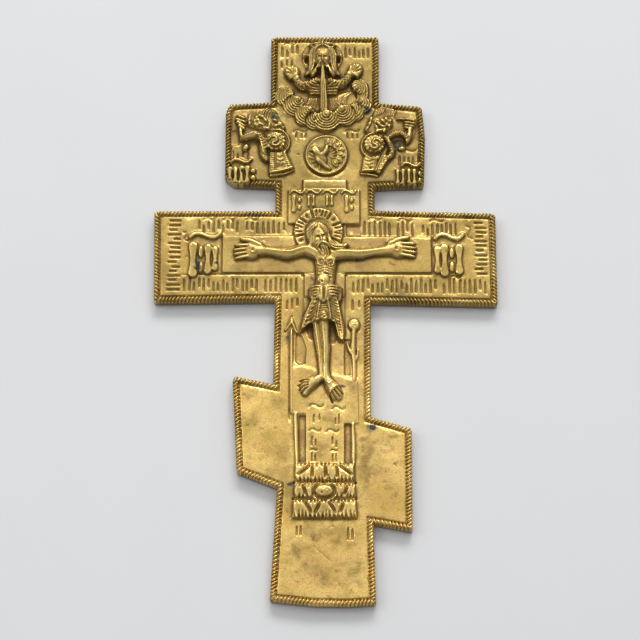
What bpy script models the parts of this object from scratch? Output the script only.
"""Cast brass cross with three bars, a rope border and figures in relief.

The cross is one casting that lies on its flat back. +X runs to the right along
the main bar, +Y to the top of the cross, +Z out of its face, and the origin is
at the centre of the back. Lengths are in metres. The figures, clouds and boards
are drawings with a unit of their own, so each keeps its proportions when its
named size changes.
"""
import math

import bpy
import bmesh
from mathutils import Matrix

# Plate outline, measured from the middle of the stem at the foot of the main bar
TOP_REACH = 0.1215
FOOT_REACH = 0.1220
TOP_HALF = 0.0224
WING_REACH = 0.0411
WING_TOP = 0.0905
WING_FOOT = 0.0518
NECK_HALF = 0.0202
BAR_REACH = 0.0695
BAR_TOP = 0.0421
BAR_FOOT = 0.0022
STEM_LEFT = 0.0198
STEM_RIGHT = 0.0182
STEM_FOOT_FLARE = 0.0014
SLANT_LEFT_REACH = 0.0358
SLANT_LEFT_TOP = -0.0290
SLANT_LEFT_FOOT = -0.0688
SLANT_LEFT_DROP = 0.0035
SLANT_LEFT_RISE = 0.0060
SLANT_RIGHT_REACH = 0.0336
SLANT_RIGHT_TOP = -0.0506
SLANT_RIGHT_FOOT = -0.0922
SLANT_RIGHT_DROP = 0.0048
SLANT_RIGHT_RISE = 0.0027
WING_CHIP = 0.0034
FOOT_BOW = 0.0012
CORNER_RADIUS = 0.0011
WING_CORNER_RADIUS = 0.0030

# Heights, from the back upwards
BASE_THICK = 0.0040
SPARE_METAL = 0.0006
FIELD_RISE = 0.0008
PANEL_RISE = 0.0005
ROPE_EDGE_RISE = 0.0004
ROPE_RISE = 0.0014
ROPE_DIP = 0.0008
POCKET_DEPTH = 0.0007
GROOVE_DEPTH = 0.0008
FILL_DEPTH = 0.0032

# Border: a rope of slanted strands, then a channel, then the field
ROPE_WIDTH = 0.0021
ROPE_PITCH = 0.0028
ROPE_SLANT = 0.0020
CHANNEL_WIDTH = 0.0009

# Sizes of the relief drawings
FIGURE_HEIGHT = 0.0840
CLOUD_WIDTH = 0.0390
ANGEL_WIDTH = 0.0240
MEDALLION_RADIUS = 0.0087
HILL_WIDTH = 0.0240
HILL_HEIGHT = 0.0214
BOARD_WIDTH = 0.0292
BOARD_HEIGHT = 0.0153
PANEL_REACH = 0.0425
PANEL_HEIGHT = 0.0157
PANEL_FOOT = 0.0153
STRIP_WIDTH = 0.0163
MONOGRAM_HEIGHT = 0.0135
SPEAR_LENGTH = 0.0380
REED_LENGTH = 0.0250

# Colour of the metal
BRASS_COLOUR = (0.55, 0.37, 0.12, 1.0)
BRASS_ROUGHNESS = 0.42

# Grain of the cast skin, and the share of its facets that is kept
SKIN_GRAIN = 0.00045
KEPT_FACETS = 0.0215

FIELD = BASE_THICK + FIELD_RISE
PANEL = FIELD + PANEL_RISE
ROOT = BASE_THICK * 0.5
SHIFT_Y = (FOOT_REACH - TOP_REACH) / 2
BORDER = ROPE_WIDTH + CHANNEL_WIDTH


def new_collection(name):
    """A collection of this name, linked to the scene."""
    collection = bpy.data.collections.new(name)
    bpy.context.scene.collection.children.link(collection)
    return collection


def outline_corners():
    """Corners of the plate, clockwise from the top left: x, y and fillet radius."""
    corner = CORNER_RADIUS
    wing = WING_CORNER_RADIUS
    return [
        (-TOP_HALF, TOP_REACH, corner),
        (TOP_HALF, TOP_REACH, corner),
        (TOP_HALF, WING_TOP, corner),
        (WING_REACH, WING_TOP - WING_CHIP * 0.3, wing),
        (WING_REACH - WING_CHIP * 0.2, WING_FOOT, corner),
        (NECK_HALF, WING_FOOT - WING_CHIP * 0.2, corner),
        (NECK_HALF, BAR_TOP, corner),
        (BAR_REACH, BAR_TOP - STEM_FOOT_FLARE * 0.5, corner),
        (BAR_REACH, BAR_FOOT - STEM_FOOT_FLARE * 0.8, corner),
        (STEM_RIGHT + STEM_FOOT_FLARE * 0.4, BAR_FOOT, corner),
        (STEM_RIGHT, SLANT_RIGHT_TOP + SLANT_RIGHT_DROP, corner),
        (SLANT_RIGHT_REACH, SLANT_RIGHT_TOP, corner),
        (SLANT_RIGHT_REACH, SLANT_RIGHT_FOOT, corner),
        (STEM_RIGHT + STEM_FOOT_FLARE * 0.3, SLANT_RIGHT_FOOT + SLANT_RIGHT_RISE, corner),
        (STEM_RIGHT + STEM_FOOT_FLARE, FOOT_BOW - FOOT_REACH, corner),
        (0.0, -FOOT_REACH, corner),
        (-STEM_LEFT - STEM_FOOT_FLARE, FOOT_BOW - FOOT_REACH, corner),
        (STEM_FOOT_FLARE * 0.7 - STEM_LEFT, SLANT_LEFT_FOOT - SLANT_LEFT_RISE, corner),
        (STEM_FOOT_FLARE - SLANT_LEFT_REACH, SLANT_LEFT_FOOT, corner),
        (-SLANT_LEFT_REACH, SLANT_LEFT_TOP, corner),
        (-STEM_LEFT - STEM_FOOT_FLARE * 0.4, SLANT_LEFT_TOP - SLANT_LEFT_DROP, corner),
        (-STEM_LEFT, BAR_FOOT, corner),
        (-BAR_REACH, BAR_FOOT, corner),
        (-BAR_REACH, BAR_TOP, corner),
        (-NECK_HALF, BAR_TOP, corner),
        (-NECK_HALF, WING_FOOT, corner),
        (WING_CHIP - WING_REACH, WING_FOOT, corner),
        (-WING_REACH, WING_FOOT + WING_CHIP, corner),
        (-WING_REACH, WING_TOP, wing),
        (-TOP_HALF, WING_TOP, corner),
    ]


def inset_corners(corners, inset):
    """The same corners moved inwards, with their fillets changed to match."""
    moved = []
    for index, (x, y, radius) in enumerate(corners):
        before = corners[index - 1]
        after = corners[(index + 1) % len(corners)]
        in_x, in_y = unit_vector(x - before[0], y - before[1])
        out_x, out_y = unit_vector(after[0] - x, after[1] - y)
        turn = in_x * out_y - in_y * out_x
        lean = 1 + in_x * out_x + in_y * out_y
        side_x = (in_y + out_y) / lean
        side_y = -(in_x + out_x) / lean
        fillet = radius - inset if turn < 0 else radius + inset
        smallest = CORNER_RADIUS * 0.25
        moved.append((x + side_x * inset, y + side_y * inset, max(fillet, smallest)))
    return moved


def unit_vector(x, y):
    """This direction at length one."""
    length = math.hypot(x, y)
    return x / length, y / length


def rounded_corners(corners):
    """For each corner, the points of its fillet, the same number at any inset."""
    rounded = []
    for index, (x, y, radius) in enumerate(corners):
        before = corners[index - 1]
        after = corners[(index + 1) % len(corners)]
        in_x, in_y = unit_vector(x - before[0], y - before[1])
        out_x, out_y = unit_vector(after[0] - x, after[1] - y)
        bend = math.acos(max(-1.0, min(1.0, in_x * out_x + in_y * out_y)))
        reach = radius * math.tan(bend / 2)
        start = (x - in_x * reach, y - in_y * reach)
        end = (x + out_x * reach, y + out_y * reach)
        middle_pull = 1 - 0.5 * math.cos(bend / 2)
        middle = (
            (start[0] + end[0]) / 2 * (1 - middle_pull) + x * middle_pull,
            (start[1] + end[1]) / 2 * (1 - middle_pull) + y * middle_pull,
        )
        rounded.append([start, middle, end] if bend > 0.5 else [start, end])
    return rounded


def between(start, end, share):
    """The point at this share of the way from start to end."""
    return tuple(a + (b - a) * share for a, b in zip(start, end))


def rope_plate():
    """The plate with its rope border, as one closed loft from the back to the channel."""
    corners = outline_corners()
    outer = rounded_corners(corners)
    crown = rounded_corners(inset_corners(corners, ROPE_WIDTH / 2))
    inner = rounded_corners(inset_corners(corners, ROPE_WIDTH))
    edge_z = BASE_THICK + ROPE_EDGE_RISE
    crown_z = BASE_THICK + ROPE_RISE
    mesh = bmesh.new()

    def vertex(point, height):
        return mesh.verts.new((point[0], point[1] + SHIFT_Y, height))

    spans = []
    count = len(corners)
    for index in range(count):
        for step in range(len(outer[index]) - 1):
            spans.append(((index, step), (index, step + 1)))
        spans.append(((index, len(outer[index]) - 1), ((index + 1) % count, 0)))

    posts = {}
    for first, _ in spans:
        corner, step = first
        posts[first] = (
            vertex(outer[corner][step], edge_z),
            vertex(crown[corner][step], crown_z - ROPE_DIP),
            vertex(inner[corner][step], BASE_THICK),
            vertex(outer[corner][step], -SPARE_METAL),
        )

    floor = []
    underside = []
    for first, last in spans:
        lines = []
        for loop in (outer, crown, inner):
            lines.append((loop[first[0]][first[1]], loop[last[0]][last[1]]))
        length = math.dist(*lines[0])
        strands = max(1, round(length / ROPE_PITCH))
        slant = ROPE_SLANT / length / 2 if strands > 2 else 0.0
        rows = [posts[first][:3]]
        for strand in range(1, strands):
            share = strand / strands
            rows.append((
                vertex(between(*lines[0], share - slant), edge_z),
                vertex(between(*lines[1], share), crown_z - ROPE_DIP),
                vertex(between(*lines[2], share + slant), BASE_THICK),
            ))
        rows.append(posts[last][:3])
        for strand in range(strands):
            ridge = vertex(between(*lines[1], (strand + 0.5) / strands), crown_z)
            low = rows[strand]
            high = rows[strand + 1]
            around = [low[0], low[1], low[2], high[2], high[1], high[0]]
            for step in range(6):
                mesh.faces.new((around[step], around[(step + 1) % 6], ridge))
        wall = [row[0] for row in rows] + [posts[last][3], posts[first][3]]
        mesh.faces.new(wall)
        floor.extend(row[2] for row in rows[:-1])
        underside.append(posts[first][3])
    mesh.faces.new(floor)
    mesh.faces.new(underside)
    bmesh.ops.recalc_face_normals(mesh, faces=mesh.faces)
    data = bpy.data.meshes.new("plate")
    mesh.to_mesh(data)
    mesh.free()
    return data


class Drawing:
    """A relief drawn in units of its own and laid on the plate at one anchor point."""

    def __init__(self, collection, name, anchor, drawn_anchor, unit, level):
        self.collection = collection
        self.name = name
        self.anchor = anchor
        self.drawn_anchor = drawn_anchor
        self.unit = unit
        self.level = level

    def place(self, x, y):
        """Plate position of a drawn point."""
        real_x = self.anchor[0] + (x - self.drawn_anchor[0]) * self.unit
        real_y = self.anchor[1] + (y - self.drawn_anchor[1]) * self.unit + SHIFT_Y
        return real_x, real_y

    def add_curve(self, kind, centre, height):
        """An empty curve object of this drawing at a drawn centre."""
        curve = bpy.data.curves.new(self.name + "_" + kind, "CURVE")
        shape = bpy.data.objects.new(curve.name, curve)
        shape.location = (*self.place(*centre), height)
        self.collection.objects.link(shape)
        return shape, curve

    def slab(self, points, rise, low=None, high=None):
        """A flat piece with this outline, from inside the plate to its own rise."""
        low = ROOT if low is None else low
        high = self.level + rise * self.unit if high is None else high
        shape, curve = self.add_curve("slab", points[0], (low + high) / 2)
        curve.dimensions = "2D"
        curve.fill_mode = "BOTH"
        curve.extrude = (high - low) / 2
        spline = curve.splines.new("POLY")
        spline.points.add(len(points) - 1)
        for knot, (x, y) in zip(spline.points, points):
            knot.co = ((x - points[0][0]) * self.unit, (y - points[0][1]) * self.unit, 0, 1)
        spline.use_cyclic_u = True
        return shape

    def disc(self, centre, radius, rise, sides=20, squash=1.0):
        """A round or oval slab."""
        points = []
        for side in range(sides):
            angle = -math.tau * side / sides
            x = centre[0] + radius * math.cos(angle)
            points.append((x, centre[1] + radius * squash * math.sin(angle)))
        return self.slab(points, rise)

    def tube(self, points, radii, lift=0.0, flat=1.0, sides=6):
        """A limb, fold or stroke: a round line whose thickness changes along it."""
        shape, curve = self.add_curve("tube", points[0][:2], self.level + lift * self.unit)
        shape.scale = (1, 1, flat)
        curve.dimensions = "3D"
        curve.fill_mode = "FULL"
        curve.bevel_depth = self.unit
        curve.bevel_resolution = (sides - 4) // 2
        curve.use_fill_caps = True
        if not hasattr(radii, "__len__"):
            radii = [radii] * len(points)
        spline = curve.splines.new("POLY")
        spline.points.add(len(points) - 1)
        for knot, point, radius in zip(spline.points, points, radii):
            x = (point[0] - points[0][0]) * self.unit
            y = (point[1] - points[0][1]) * self.unit
            z = point[2] * self.unit / flat if len(point) > 2 else 0.0
            knot.co = (x, y, z, 1)
            knot.radius = radius
        return shape

    def blob(self, centre, radii, lift=0.0, turn=0.0, segments=10, rings=6):
        """A rounded mass such as a head, a knob or a belly."""
        shape_mesh = bpy.data.meshes.new(self.name + "_blob")
        ball = bmesh.new()
        bmesh.ops.create_uvsphere(ball, u_segments=segments, v_segments=rings, radius=1.0)
        ball.to_mesh(shape_mesh)
        ball.free()
        shape = bpy.data.objects.new(shape_mesh.name, shape_mesh)
        shape.location = (*self.place(*centre), self.level + lift * self.unit)
        shape.rotation_euler = (0, 0, math.radians(turn))
        shape.scale = [radius * self.unit for radius in radii]
        self.collection.objects.link(shape)
        return shape

    def ring(self, centre, radius, thickness, lift=0.0, squash=1.0, sides=16):
        """A raised ring, round or oval, as a closed line of points."""
        points = []
        for side in range(sides):
            angle = math.tau * side / sides
            x = centre[0] + radius * math.cos(angle)
            points.append((x, centre[1] + radius * squash * math.sin(angle)))
        shape = self.tube(points, thickness, lift, sides=4)
        shape.data.splines[0].use_cyclic_u = True
        shape.data.use_fill_caps = False
        return shape

    def arc(self, centre, radius, start, end, thickness, lift=0.0, steps=6, squash=1.0):
        """A raised arc between two angles in degrees."""
        points = []
        for step in range(steps + 1):
            angle = math.radians(start + (end - start) * step / steps)
            x = centre[0] + radius * math.cos(angle)
            points.append((x, centre[1] + radius * squash * math.sin(angle)))
        return self.tube(points, thickness, lift, sides=4)

    def wave(self, centre, length, height, thickness, turn=0.0):
        """A small wavy stroke."""
        points = []
        for step in range(5):
            along = length * (step / 4 - 0.5)
            across = height * (0.5, -0.5, 0.0, 0.5, -0.5)[step]
            angle = math.radians(turn)
            x = centre[0] + along * math.cos(angle) - across * math.sin(angle)
            y = centre[1] + along * math.sin(angle) + across * math.cos(angle)
            points.append((x, y))
        return self.tube(points, thickness, sides=4)


def rectangle(left, low, right, high):
    """Corners of an upright rectangle, clockwise."""
    return [(left, low), (left, high), (right, high), (right, low)]


def ground_drawing(collection):
    """Drawing in metres, for the flat grounds that follow the plate's own sizes."""
    return Drawing(collection, "ground", (0, 0), (0, 0), 1.0, FIELD)


def add_grounds(collection):
    """The field inside the border, and the flat boards that stand on it."""
    ground = ground_drawing(collection)
    field = rounded_corners(inset_corners(outline_corners(), BORDER))
    ground.slab([point for corner in field for point in corner], 0.0)
    ground.slab(
        rectangle(-PANEL_REACH, PANEL_FOOT, PANEL_REACH, PANEL_FOOT + PANEL_HEIGHT),
        PANEL_RISE,
    )
    half = STRIP_WIDTH / 2
    board_foot = PANEL_FOOT + PANEL_HEIGHT + PANEL_REACH * 0.12
    board_top = board_foot + BOARD_HEIGHT
    ground.slab(rectangle(-half, SLANT_LEFT_TOP, half, board_foot + half), PANEL_RISE * 0.9)
    ground.slab(
        rectangle(-BOARD_WIDTH / 2, board_foot, BOARD_WIDTH / 2, board_top), PANEL_RISE * 1.2
    )
    ground.slab(
        rectangle(-half * 1.1, board_top - half, half * 1.1, board_top + half / 2),
        PANEL_RISE * 1.6,
    )


def foot_drawing(collection):
    """Drawing of the boards on the stem below the figure, anchored on the slanted bar."""
    unit = STRIP_WIDTH / 16.3
    return Drawing(collection, "foot", (0, SLANT_LEFT_TOP), (0, -29.0), unit, FIELD)


def add_foot_boards(collection):
    """The slanted board under the feet and the strips that lead down to the hill."""
    foot = foot_drawing(collection)
    foot.slab(
        [(-13.7, -44.2), (-13.7, -24), (-8, -24), (7.5, -28.5), (12.8, -30), (13.2, -48.2),
         (7.5, -48.2), (-7.5, -44.2)],
        0.7,
    )
    foot.slab(rectangle(-7.5, -66, 7.5, -43), 0.5)
    foot.slab(rectangle(-12.4, -66, -10.5, -43), 0.45)
    foot.slab(rectangle(10.2, -66, 11.9, -46), 0.45)


def add_recesses(collection):
    """Sunken pockets beside the boards, as cutters."""
    foot = foot_drawing(collection)
    sunk = FIELD - POCKET_DEPTH
    above = FIELD + ROPE_RISE
    pockets = [
        [(-11.7, -22.5), (-11.5, -10.5), (-9.5, -11), (-8.6, -17), (-8.5, -23.3)],
        rectangle(8.6, -28.0, 10.0, -13.5),
        rectangle(-10.2, -63.8, -7.8, -45.2),
        rectangle(7.8, -64.2, 9.9, -49.0),
        rectangle(8.8, 31.8, 14.0, 35.4),
    ]
    for pocket in pockets:
        foot.slab(pocket, 0.0, low=sunk, high=above)


def hill_drawing(collection):
    """Drawing of the hill, its foot on the lower stem."""
    unit = HILL_WIDTH / 24.0
    return Drawing(collection, "hill", (0, SLANT_RIGHT_FOOT), (0, -92.2), unit, FIELD)


def add_hill(collection):
    """The block of the hill with its cave and skull."""
    hill = hill_drawing(collection)
    low = -86.0
    high = low + HILL_HEIGHT / hill.unit
    hill.slab([(-12.8, low), (-11.5, high), (11.2, high), (12.1, low)], 1.3)


def add_hill_cuts(collection):
    """Level grooves and slanted chisel cuts over the hill, as cutters."""
    hill = hill_drawing(collection)
    top = FIELD + 1.3 * hill.unit
    low = top - GROOVE_DEPTH
    high = top + GROOVE_DEPTH
    for y, left, right in ((-72.3, -14, 14), (-79.0, -14, -5.2), (-79.0, 4.4, 14)):
        hill.slab(rectangle(left, y - 0.35, right, y + 0.35), 0.0, low=low, high=high)
    cuts = [
        ((-5.6, -65.8), (-10.6, -69.8)), ((-4.6, -66), (-4.9, -70.6)), ((0.1, -66), (0.1, -71)),
        ((4.4, -66), (4.6, -70.8)), ((5.6, -65.8), (10.3, -69.8)),
        ((-8.6, -73.6), (-7.4, -77.8)), ((8.8, -73.8), (7.6, -77.9)),
        ((-8.4, -80.6), (-5.6, -84.4)), ((-2.0, -80.6), (-3.6, -84.6)),
        ((1.4, -80.6), (3.9, -84.6)), ((7.3, -80.6), (5.9, -84.6)),
    ]
    for start, end in cuts:
        across_x, across_y = unit_vector(start[1] - end[1], end[0] - start[0])
        half = 0.32
        corners = [
            (start[0] - across_x * half, start[1] - across_y * half),
            (start[0] + across_x * half, start[1] + across_y * half),
            (end[0] + across_x * half, end[1] + across_y * half),
            (end[0] - across_x * half, end[1] - across_y * half),
        ]
        hill.slab(corners, 0.0, low=low, high=high)


def add_skull(collection):
    """The ring of the cave with the skull in it."""
    hill = hill_drawing(collection)
    hill.level = FIELD + 1.3 * hill.unit
    hill.ring((-0.3, -76.0), 4.3, 0.6, squash=0.78, sides=14)
    hill.blob((-0.2, -75.6), (2.6, 2.0, 1.5), segments=10, rings=6)
    hill.blob((-0.2, -77.6), (1.6, 1.2, 1.1), segments=8, rings=4)


def add_figure(collection):
    """The figure on the cross: arms, body, cloth, legs and feet."""
    unit = FIGURE_HEIGHT / 84
    figure = Drawing(collection, "figure", (0, BAR_FOOT), (0, 2.2), unit, PANEL)

    figure.tube(
        [(-3, 22.5), (-8, 24.7), (-15, 23.0), (-20, 23.7), (-25.5, 24.2), (-29, 24.4)],
        [2.6, 2.6, 2.5, 2.0, 2.1, 2.6], lift=0.4, flat=0.8, sides=8,
    )
    figure.tube(
        [(3, 22.0), (9, 22.9), (14, 22.7), (20, 23.7), (25.5, 24.4), (29, 25.0)],
        [2.5, 2.5, 2.2, 1.8, 2.1, 2.6], lift=0.4, flat=0.8, sides=8,
    )
    for side, palm_y in ((-1, 24.4), (1, 24.8)):
        figure.blob((side * 29.6, palm_y), (3.2, 3.6, 1.5))
        for finger in range(4):
            spread = finger - 1.5
            start = (side * 31.0, palm_y - 0.2 + spread * 1.7)
            tip = (side * (37.0 - abs(spread) * 0.7), palm_y - 0.4 + spread * 2.1)
            figure.tube([start, tip], [0.95, 0.8], lift=0.15, sides=6)
        figure.tube(
            [(side * 26.5, palm_y + 2.2), (side * 30.5, palm_y + 4.2), (side * 34, palm_y + 5.2)],
            [1.3, 1.0, 0.7], lift=0.15,
        )

    figure.tube(
        [(0.4, 24), (0.3, 21), (0.1, 17.5), (-0.2, 14.5), (-0.6, 12), (-0.6, 8)],
        [3.0, 4.0, 3.8, 3.2, 3.2, 3.6], lift=0.5, flat=0.82, sides=10,
    )
    figure.blob((-0.7, 12.2), (2.7, 2.7, 3.2), lift=0.4)
    for x, y in ((-1.6, 18.6), (2.1, 18.4)):
        figure.blob((x, y), (1.7, 1.6, 1.0), lift=3.0, segments=8, rings=4)

    figure.tube(
        [(-0.2, 9), (-0.5, 3), (-0.9, -5.6)], [3.7, 4.6, 5.6], lift=0.1, flat=0.55, sides=10
    )
    for fold in range(3):
        y = 8.2 - 1.5 * fold
        figure.tube([(-2.4, y - 0.3, 1.0), (-6.0, y, 0)], [0.8, 0.7], lift=1.6)
        figure.tube([(1.1, y - 0.2, 1.0), (6.3, y, 0)], [0.8, 0.7], lift=1.6)
    figure.ring((-0.7, 4.7), 1.6, 0.75, lift=3.0, squash=2.0, sides=12)
    folds = [
        [(-2.6, 3, 2.0), (-5.5, -3, 1.0), (-9.2, -9.2, 0)],
        [(-2.0, 2.4, 2.4), (-3.9, -2, 2.0), (-6.0, -6.6, 1.0)],
        [(-1.0, 1.2, 2.6), (-2.0, -2, 2.4), (-3.0, -5.8, 1.8)],
        [(0.4, 1.4, 2.6), (0.6, -2, 2.4), (0.4, -6.0, 2.0)],
        [(1.6, 2.4, 2.4), (2.6, -2, 2.0), (3.4, -7.0, 1.4)],
        [(3.6, 4.4, 1.6), (5.2, -3, 1.0), (6.6, -13.8, 0)],
    ]
    for fold in folds:
        figure.tube(fold, [0.9, 1.1, 0.9])
    figure.tube([(4.2, 4.6), (5.0, -4), (5.8, -12.5)], [1.4, 1.9, 1.5], lift=0.2, flat=0.8)

    figure.tube(
        [(0.8, -3), (-0.1, -9), (-0.5, -15), (0.1, -19), (0.4, -24), (0.7, -29.5)],
        [2.8, 2.6, 1.9, 2.0, 1.5, 1.5], lift=0.7, flat=0.9, sides=8,
    )
    figure.tube(
        [(-3.1, -3), (-3.5, -10), (-2.8, -17), (-2.0, -24), (-1.2, -29.5)],
        [2.4, 2.0, 1.6, 1.4, 1.4], lift=0.3, flat=0.9, sides=8,
    )
    figure.tube(
        [(-0.8, -29), (-3.5, -30.6), (-6.8, -32.4), (-9.0, -35.0)], [1.5, 1.9, 2.3, 1.7],
        lift=0.2, flat=0.8, sides=8,
    )
    figure.tube(
        [(0.8, -29), (1.7, -32.5), (3.6, -35.4), (4.4, -38.8)], [1.5, 2.0, 2.6, 1.8],
        lift=0.2, flat=0.8, sides=8,
    )


def add_head(collection):
    """The halo, and the bowed head with long hair and a pointed beard."""
    unit = FIGURE_HEIGHT / 84
    head = Drawing(collection, "head", (0, BAR_FOOT), (0, 2.2), unit, PANEL)
    head.disc((-2.6, 32.6), 10.1, 0.7, sides=28)
    head.ring((-2.6, 32.6), 9.6, 0.45, lift=0.8, sides=28)
    head.ring((-2.6, 32.6), 6.7, 0.40, lift=0.8, sides=22)
    for degrees in range(-20, 201, 22):
        angle = math.radians(degrees)
        start = (-2.6 + 7.0 * math.cos(angle), 32.6 + 7.0 * math.sin(angle))
        end = (-2.6 + 9.4 * math.cos(angle), 32.6 + 9.4 * math.sin(angle))
        head.tube([start, end], 0.45, lift=0.75, sides=4)
    head.blob((-1.6, 30.6), (3.5, 4.9, 3.4), lift=0.9, turn=12, segments=12, rings=8)
    head.tube([(-0.6, 27.5), (0.6, 24.5), (1.8, 21.6)], [2.6, 1.9, 0.7], lift=1.6, flat=0.9)
    head.tube([(-1.5, 31.4, 0.2), (-1.0, 28.7, 0.6)], [0.55, 0.8], lift=3.9)
    head.tube([(-3.6, 31.6), (-2.4, 32.0), (-1.3, 31.5)], [0.5, 0.6, 0.5], lift=3.7)
    head.tube([(-1.3, 31.5), (-0.1, 32.4), (1.1, 32.2)], [0.5, 0.6, 0.5], lift=3.7)
    head.tube([(-2.0, 35.2), (-4.6, 33.6), (-5.6, 30.4), (-5.3, 27)], [1.2, 1.3, 1.3, 0.9], lift=1.4)
    head.tube([(-2.0, 35.4), (0.8, 34.8), (2.3, 31.6), (2.8, 28)], [1.2, 1.3, 1.3, 1.2], lift=1.4)
    head.tube([(2.6, 29.0), (3.4, 25.8), (5.6, 24.6), (8.3, 25.4)], [1.2, 1.2, 1.0, 0.6], lift=1.9)


def add_tools(collection):
    """The spear on the left and the reed with its sponge on the right."""
    foot_anchor = (0, SLANT_LEFT_TOP)
    spear = Drawing(collection, "spear", foot_anchor, (0, -29.0), SPEAR_LENGTH / 38, FIELD)
    spear.tube([(-13.5, -8.5), (-13.5, -44.0)], 0.62, lift=0.35)
    spear.tube([(-13.3, -5.6), (-15.8, -9.4)], 0.55, lift=0.35)
    spear.tube([(-13.3, -5.6), (-11.4, -10.2)], 0.55, lift=0.35)
    reed = Drawing(collection, "reed", foot_anchor, (0, -29.0), REED_LENGTH / 25, FIELD)
    reed.tube([(11.4, -8.0), (11.5, -30.5)], 0.85, lift=0.25)
    reed.blob((11.6, -7.0), (2.4, 2.5, 1.5), segments=12, rings=6)


def add_monograms(collection):
    """Raised strokes at both ends of the bar: upright leaves, rings and waves."""
    unit = MONOGRAM_HEIGHT / 13.5
    for side in (-1, 1):
        anchor = (side * BAR_REACH, (BAR_TOP + BAR_FOOT) / 2)
        signs = Drawing(collection, "signs", anchor, (side * 69.5, 22.2), unit, FIELD)
        foot_y, top_y = (14.6, 28.0) if side < 0 else (14.8, 26.6)
        middle = (foot_y + top_y) / 2
        for lean, x in ((0, 51.8), (1, 47.6)):
            high = top_y - lean * 1.6
            low = foot_y + lean * 1.6
            signs.slab(
                [(side * x - 1.9, low), (side * x - 0.8, middle), (side * x - 1.9, high),
                 (side * x + 1.9, high), (side * x + 0.8, middle), (side * x + 1.9, low)],
                0.7 + 0.1 * lean,
            )
        signs.ring((side * 43.6, middle), 1.6, 0.6, squash=3.0, sides=14)
        signs.wave((side * 49.5, top_y + 3.2), 12.5, 1.6, 0.6)


def add_clouds(collection):
    """The crescent of cloud, worked into lobes with curled middles."""
    unit = CLOUD_WIDTH / 39
    clouds = Drawing(collection, "clouds", (0, TOP_REACH), (0, 121.5), unit, FIELD)
    outer = []
    for step in range(15):
        angle = math.radians(183 + 174 * step / 14)
        outer.append((-0.5 + 18.4 * math.cos(angle), 97 + 18.4 * math.sin(angle)))
    inner = []
    for step in range(9):
        angle = math.radians(328 - 116 * step / 8)
        inner.append((-0.5 + 17.0 * math.cos(angle), 106.5 + 17.0 * math.sin(angle)))
    clouds.slab(list(reversed(outer + inner)), 0.9)
    for step in range(9):
        angle = math.radians(188 + 164 * step / 8)
        reach = 15.0 if step % 2 == 0 else 14.2
        size = 3.5 if step % 2 == 0 else 2.9
        centre = (-0.5 + reach * math.cos(angle), 97 + reach * math.sin(angle))
        clouds.blob(centre, (size, size, 1.9), lift=0.2, segments=12, rings=4)
        clouds.ring(centre, size * 0.62, 0.5, lift=1.45, sides=10)
        clouds.blob(centre, (0.95, 0.95, 1.0), lift=1.5, segments=8, rings=4)
    for step in range(4):
        angle = math.radians(222 + 96 * step / 3)
        centre = (-0.5 + 10.6 * math.cos(angle), 98 + 10.6 * math.sin(angle))
        clouds.blob(centre, (2.2, 2.2, 1.7), lift=0.2, segments=10, rings=4)


def add_elder(collection):
    """The bearded half figure over the clouds, its nimbus and its raised hands."""
    unit = CLOUD_WIDTH / 39
    elder = Drawing(collection, "elder", (0, TOP_REACH), (0, 121.5), unit, FIELD)
    star = []
    for step in range(16):
        angle = -math.tau * step / 16 + math.pi / 2
        reach = 7.9 if step % 2 == 0 else 6.0
        star.append((-1 + reach * math.cos(angle), 111.6 + reach * 0.93 * math.sin(angle)))
    elder.slab(star, 0.7)
    elder.ring((-1, 111.6), 5.2, 0.4, lift=0.75, squash=0.95, sides=18)
    elder.blob((-1.0, 111.2), (3.1, 4.0, 2.9), lift=0.7, segments=12, rings=8)
    elder.tube([(-1.0, 111.9, 0), (-1.0, 110.0, 0.3)], [0.4, 0.65], lift=3.4)
    for side in (-1, 1):
        elder.tube([(-1.1, 112.1), (-1 + side * 2.0, 112.4)], [0.45, 0.4], lift=3.1)
        elder.tube(
            [(-1 + side * 0.6, 115.2), (-1 + side * 3.0, 114.0), (-1 + side * 3.7, 110.8),
             (-1 + side * 3.3, 107.6)],
            [0.9, 1.1, 1.1, 0.8], lift=0.9,
        )
        elder.tube(
            [(-1 + side * 0.8, 108.2), (-1 + side * 2.4, 105.0), (-1 + side * 5.4, 101.4)],
            [1.2, 1.5, 0.6], lift=1.7,
        )
        palm = (-16.0, 104.2) if side < 0 else (13.2, 105.0)
        elder.tube(
            [(side * 3.5 - 0.5, 98.8), (side * 9 - 0.5, 97.9), (palm[0] - side * 2.4, 100.2),
             (palm[0] - side * 0.4, 102.6)],
            [2.2, 2.0, 1.7, 1.3], lift=0.3, flat=0.8, sides=8,
        )
        elder.blob(palm, (1.7, 1.9, 1.3), lift=0.2, segments=8, rings=4)
        for finger in range(3):
            tip_x = palm[0] + (finger - 1) * 1.5
            elder.tube(
                [(palm[0] + (finger - 1) * 0.9, palm[1] + 0.8), (tip_x, palm[1] + 4.6 - finger * 0.7)],
                [0.65, 0.5], lift=0.2,
            )
        for fold in range(3):
            top_x = -0.5 + side * (2.6 + 1.5 * fold)
            low_x = -0.5 + side * (3.4 + 2.3 * fold)
            elder.tube([(top_x, 94.4, 0.6), (low_x, 88.4 + 0.7 * fold, 0)], 0.75, lift=0.9)
    elder.blob((-0.7, 97.0), (6.6, 5.4, 2.3), lift=0.2, segments=12, rings=6)
    for fold in range(4):
        y = 99.2 - 1.5 * fold
        elder.tube([(-6.4, y - 0.4, -0.5), (-0.5, y - 0.9, 0.3), (5.2, y - 0.4, -0.5)], 0.5, lift=2.2)
    elder.slab(rectangle(-2.1, 87.2, 1.5, 103.0), 2.7)
    for flute in range(3):
        x = -1.45 + 1.15 * flute
        elder.tube([(x, 103.4), (x, 87.0)], 0.55, lift=2.6)


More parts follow.
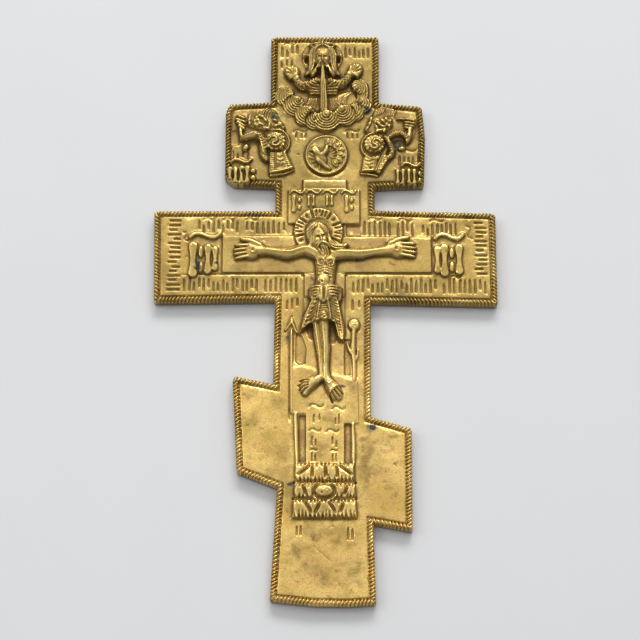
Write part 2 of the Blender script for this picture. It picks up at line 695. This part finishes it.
def add_medallion(collection):
    """The round medallion with a bird on it."""
    unit = MEDALLION_RADIUS / 8.7
    medal = Drawing(collection, "medal", (0, WING_FOOT), (0, 51.8), unit, FIELD)
    medal.disc((0.6, 67), 8.6, 0.7, sides=24)
    medal.ring((0.6, 67), 8.0, 0.55, lift=0.8, sides=24)
    medal.blob((-1.6, 65.2), (3.4, 2.1, 1.6), lift=0.7, turn=-24)
    medal.blob((-4.5, 68.2), (1.3, 1.3, 1.1), lift=1.1, segments=8, rings=4)
    for feather in range(4):
        angle = math.radians(66 - 21 * feather)
        tip = (-1.2 + 6.6 * math.cos(angle), 65.6 + 6.6 * math.sin(angle))
        medal.tube([(-1.2, 65.8), tip], [0.9, 0.6], lift=1.0, sides=4)
    for ray in range(3):
        angle = math.radians(-6 - 24 * ray)
        tip = (0.2 + 5.2 * math.cos(angle), 64.2 + 4.4 * math.sin(angle))
        medal.tube([(0.2, 64.4), tip], [0.7, 0.45], lift=0.9, sides=4)


def add_angel(collection, side):
    """One bowing angel on its wing of the upper bar, with a cloth over its hands."""
    unit = ANGEL_WIDTH / 24
    drawn_edge = 41.1
    angel = Drawing(
        collection, "angel", (side * WING_REACH, WING_TOP), (side * drawn_edge, 90.5), unit, FIELD
    )

    def out(x, y, z=0.0):
        return (side * x, y, z)

    angel.disc(out(19.5, 72.2)[:2], 5.2, 0.6, sides=18)
    angel.ring(out(19.5, 72.2)[:2], 4.9, 0.5, lift=0.7, sides=18)
    angel.blob(out(20.0, 72.4)[:2], (3.2, 3.7, 2.4), lift=0.8, segments=10, rings=6)
    for feather in range(4):
        base = 18.6 + 2.1 * feather
        tip = 17.4 + 2.8 * feather
        angel.tube(
            [out(base, 78.4), out(tip, 84), out(tip + 0.3, 88.4 - abs(feather - 1.5) * 0.9)],
            [1.0, 1.2, 0.8], lift=0.4,
        )
    for feather in range(2):
        angel.tube(
            [out(25.6 - 0.9 * feather, 79 - 1.6 * feather), out(29.6, 83.6 - 2.6 * feather)],
            [1.0, 0.7], lift=0.4,
        )
    angel.tube(
        [out(21.5, 69.5), out(25.5, 72.2), out(30.5, 74), out(35, 77)], [2.4, 3.6, 4.0, 2.4],
        lift=0.1, flat=0.6, sides=8,
    )
    angel.blob(out(32.2, 72.3)[:2], (3.2, 2.6, 2.2), lift=0.2, turn=side * 20)
    for fold in range(4):
        angle = math.radians(18 + 24 * fold)
        tip = out(33.0 + 4.6 * math.cos(angle), 78.4 + 5.8 * math.sin(angle))
        angel.tube([out(33.0, 77.4), tip], [0.7, 0.85], lift=0.4)
    angel.tube(
        [out(29, 75.2), out(25.6, 71.5), out(25.2, 66.5), out(23.4, 63.6)], [1.2, 1.6, 1.7, 1.2],
        lift=1.1,
    )
    towel = [(22.6, 58.6), (22.8, 67.4), (16.0, 68.0), (14.0, 60.0)]
    angel.slab([out(*point)[:2] for point in towel][::side], 1.0)
    for hem in range(4):
        share = (hem + 0.5) / 4
        top = between(out(22.3, 67.0), out(16.4, 67.6), share)
        low = between(out(22.2, 59.2), out(14.6, 60.2), share)
        angel.tube([top, low], 0.5, lift=1.0, sides=4)
    for stroke in range(4):
        x = 29.3 + 2.5 * stroke
        height = 2.6 if stroke % 2 else 1.9
        angel.tube([out(x, 58.4 - height), out(x, 58.4 + height)], 0.6, lift=0.2, sides=4)
    angel.wave(out(35.0, 64.2)[:2], 7.0, 1.4, 0.45)


def add_board_signs(collection):
    """Raised strokes on the board over the head."""
    unit = BOARD_WIDTH / 29.2
    board_level = FIELD + PANEL_RISE * 1.2
    board_foot = PANEL_FOOT + PANEL_HEIGHT + PANEL_REACH * 0.12
    board = Drawing(collection, "board", (0, board_foot), (0, 36.1), unit, board_level)
    for x in (-12.0, 10.4):
        board.tube([(x - 1.5, 42.4), (x, 45.4), (x - 1.5, 48.2)], 0.5, sides=4)
        board.tube([(x + 1.4, 42.4), (x + 1.4, 48.2)], 0.5, sides=4)
    for x in (-5.6, 1.9):
        board.tube([(x - 1.3, 44.8), (x - 1.3, 48.2)], 0.5, sides=4)
        board.tube([(x + 1.3, 48.2), (x + 1.3, 44.8)], 0.5, sides=4)
    for x in (-11.3, -4.7, 2.0, 9.5):
        board.wave((x, 49.9), 5.0, 0.9, 0.4)


def curves_to_meshes(collection):
    """Turn each curve of a collection into a closed mesh object in the same place."""
    bpy.context.view_layer.update()
    depsgraph = bpy.context.evaluated_depsgraph_get()
    curves = [shape for shape in collection.objects if shape.type == "CURVE"]
    made = []
    for shape in curves:
        mesh = bpy.data.meshes.new_from_object(shape.evaluated_get(depsgraph))
        made.append((shape, mesh))
    for shape, mesh in made:
        solid = bmesh.new()
        solid.from_mesh(mesh)
        bmesh.ops.remove_doubles(solid, verts=solid.verts, dist=1e-6)
        bmesh.ops.recalc_face_normals(solid, faces=solid.faces)
        solid.to_mesh(mesh)
        solid.free()
        mesh_object = bpy.data.objects.new(shape.name + "_mesh", mesh)
        mesh_object.matrix_world = shape.matrix_world
        collection.objects.link(mesh_object)
        bpy.data.objects.remove(shape)
    for shape in collection.objects:
        shape.hide_render = True
        shape.display_type = "WIRE"


def add_boolean(body, name, operation, collection):
    """Join or cut a body with every shape of a collection."""
    curves_to_meshes(collection)
    step = body.modifiers.new(name, "BOOLEAN")
    step.operation = operation
    step.operand_type = "COLLECTION"
    step.collection = collection
    step.solver = "EXACT"
    step.use_self = True


def cast_whole(plate, relief, parts):
    """The plate and the relief under one cast skin, with metal under every raised shape."""
    curves_to_meshes(relief)
    bpy.context.view_layer.update()
    depsgraph = bpy.context.evaluated_depsgraph_get()
    joined = bmesh.new()
    joined.from_mesh(plate.evaluated_get(depsgraph).data)
    layers = math.ceil(FILL_DEPTH / SKIN_GRAIN)
    for shape in relief.objects:
        copy = shape.data.copy()
        copy.transform(shape.matrix_world)
        for _ in range(layers):
            joined.from_mesh(copy)
            copy.transform(Matrix.Translation((0, 0, -SKIN_GRAIN)))
        bpy.data.meshes.remove(copy)
    mesh = bpy.data.meshes.new("icon_cross")
    joined.to_mesh(mesh)
    joined.free()
    mesh.shade_smooth()
    cross = bpy.data.objects.new("icon_cross", mesh)
    parts.objects.link(cross)
    skin = cross.modifiers.new("cast skin", "REMESH")
    skin.mode = "VOXEL"
    skin.voxel_size = SKIN_GRAIN
    skin.use_smooth_shade = True
    thin = cross.modifiers.new("thin the facets", "DECIMATE")
    thin.ratio = KEPT_FACETS
    return cross


def grind_back(cross, cutters):
    """Cut the spare metal off, so that the back is flat at height zero."""
    reach = TOP_REACH + FOOT_REACH
    bpy.ops.mesh.primitive_cube_add(size=1, location=(0, 0, -reach / 2))
    block = bpy.context.object
    block.name = "grinding_block"
    block.scale = (reach * 2, reach * 2, reach)
    block.hide_render = True
    block.display_type = "WIRE"
    for collection in block.users_collection:
        collection.objects.unlink(block)
    cutters.objects.link(block)
    step = cross.modifiers.new("grind the back", "BOOLEAN")
    step.operation = "DIFFERENCE"
    step.object = block
    step.solver = "EXACT"


def brass_material():
    """Yellow brass with a dull cast skin."""
    material = bpy.data.materials.new("brass")
    material.use_nodes = True
    shader = material.node_tree.nodes["Principled BSDF"]
    shader.inputs["Base Color"].default_value = BRASS_COLOUR
    shader.inputs["Metallic"].default_value = 1.0
    shader.inputs["Roughness"].default_value = BRASS_ROUGHNESS
    material.diffuse_color = BRASS_COLOUR
    return material


def build():
    """Model the whole casting."""
    for leftover in list(bpy.data.objects):
        bpy.data.objects.remove(leftover)
    parts = new_collection("icon cross")
    moulds = new_collection("plate mould")
    grounds = new_collection("raised grounds")
    pockets = new_collection("pocket cutters")
    chisel = new_collection("hill cutters")
    relief = new_collection("relief shapes")

    plate = bpy.data.objects.new("plate", rope_plate())
    moulds.objects.link(plate)
    plate.hide_render = True
    plate.display_type = "WIRE"

    add_grounds(grounds)
    add_foot_boards(grounds)
    add_hill(grounds)
    add_recesses(pockets)
    add_hill_cuts(chisel)
    add_figure(relief)
    add_head(relief)
    add_tools(relief)
    add_skull(relief)
    add_monograms(relief)
    add_board_signs(relief)
    add_clouds(relief)
    add_elder(relief)
    add_medallion(relief)
    add_angel(relief, -1)
    add_angel(relief, 1)

    add_boolean(plate, "raise the grounds", "UNION", grounds)
    add_boolean(plate, "sink the pockets", "DIFFERENCE", pockets)
    add_boolean(plate, "chisel the hill", "DIFFERENCE", chisel)
    cross = cast_whole(plate, relief, parts)
    cross.data.materials.append(brass_material())
    grind_back(cross, moulds)


build()
